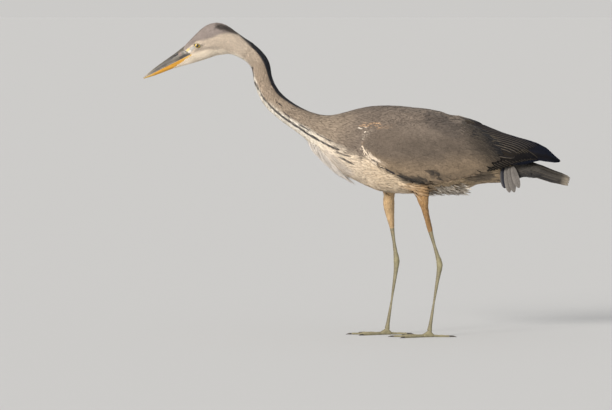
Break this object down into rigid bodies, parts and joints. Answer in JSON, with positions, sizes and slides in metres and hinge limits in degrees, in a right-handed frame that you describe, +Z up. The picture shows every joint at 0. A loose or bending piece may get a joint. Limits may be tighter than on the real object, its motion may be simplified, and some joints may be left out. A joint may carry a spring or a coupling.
{
  "type": "grey heron",
  "caption": "Life-size still grey heron standing on its own feet, leaning forward with an S-curved neck and a long straight bill pointing down ahead.",
  "frame": {"origin": "on the floor, under the centre of the bird's bounding box", "axes": "-X the way the bird faces, +X towards its tail, -Y its left side, +Z up"},
  "size_m": [0.9411, 0.1622, 0.6893],
  "materials": {
    "plumage_grey": "soft grey-brown contour feathers",
    "plumage_pale": "soft cream and buff feathers",
    "flight_dark": "smooth slate-black flight feathers",
    "bill_slate": "satin slate-grey horn",
    "bill_yellow": "satin orange-yellow horn",
    "eye_yellow": "wet gloss, yellow iris",
    "leg_skin": "dry scaled skin",
    "claw_horn": "dark horn"
  },
  "bodies": {
    "root": {"bill_upper": "bill_slate", "bill_lower": "bill_yellow", "eye_left": "eye_yellow", "eye_right": "eye_yellow", "head": "plumage_grey", "neck_upper": "plumage_grey", "neck_middle": "plumage_grey", "neck_lower": "plumage_grey", "breast_plumes": "plumage_pale", "trunk": "plumage_grey", "wing_left": "plumage_grey", "wing_right": "plumage_grey", "flight_left": "flight_dark", "flight_right": "flight_dark", "loose_feathers": "plumage_grey", "tail": "plumage_grey", "thigh_left": "plumage_pale", "thigh_right": "plumage_pale", "shank_left": "leg_skin", "shank_right": "leg_skin", "tarsus_left": "leg_skin", "tarsus_right": "leg_skin", "foot_left": "leg_skin", "foot_right": "leg_skin", "toe_left_middle": "leg_skin", "toe_left_inner": "leg_skin", "toe_left_outer": "leg_skin", "toe_left_hind": "leg_skin", "toe_right_middle": "leg_skin", "toe_right_inner": "leg_skin", "toe_right_outer": "leg_skin", "toe_right_hind": "leg_skin", "claw_left_middle": "claw_horn", "claw_left_inner": "claw_horn", "claw_left_outer": "claw_horn", "claw_left_hind": "claw_horn", "claw_right_middle": "claw_horn", "claw_right_inner": "claw_horn", "claw_right_outer": "claw_horn", "claw_right_hind": "claw_horn"}
  },
  "joints": []
}
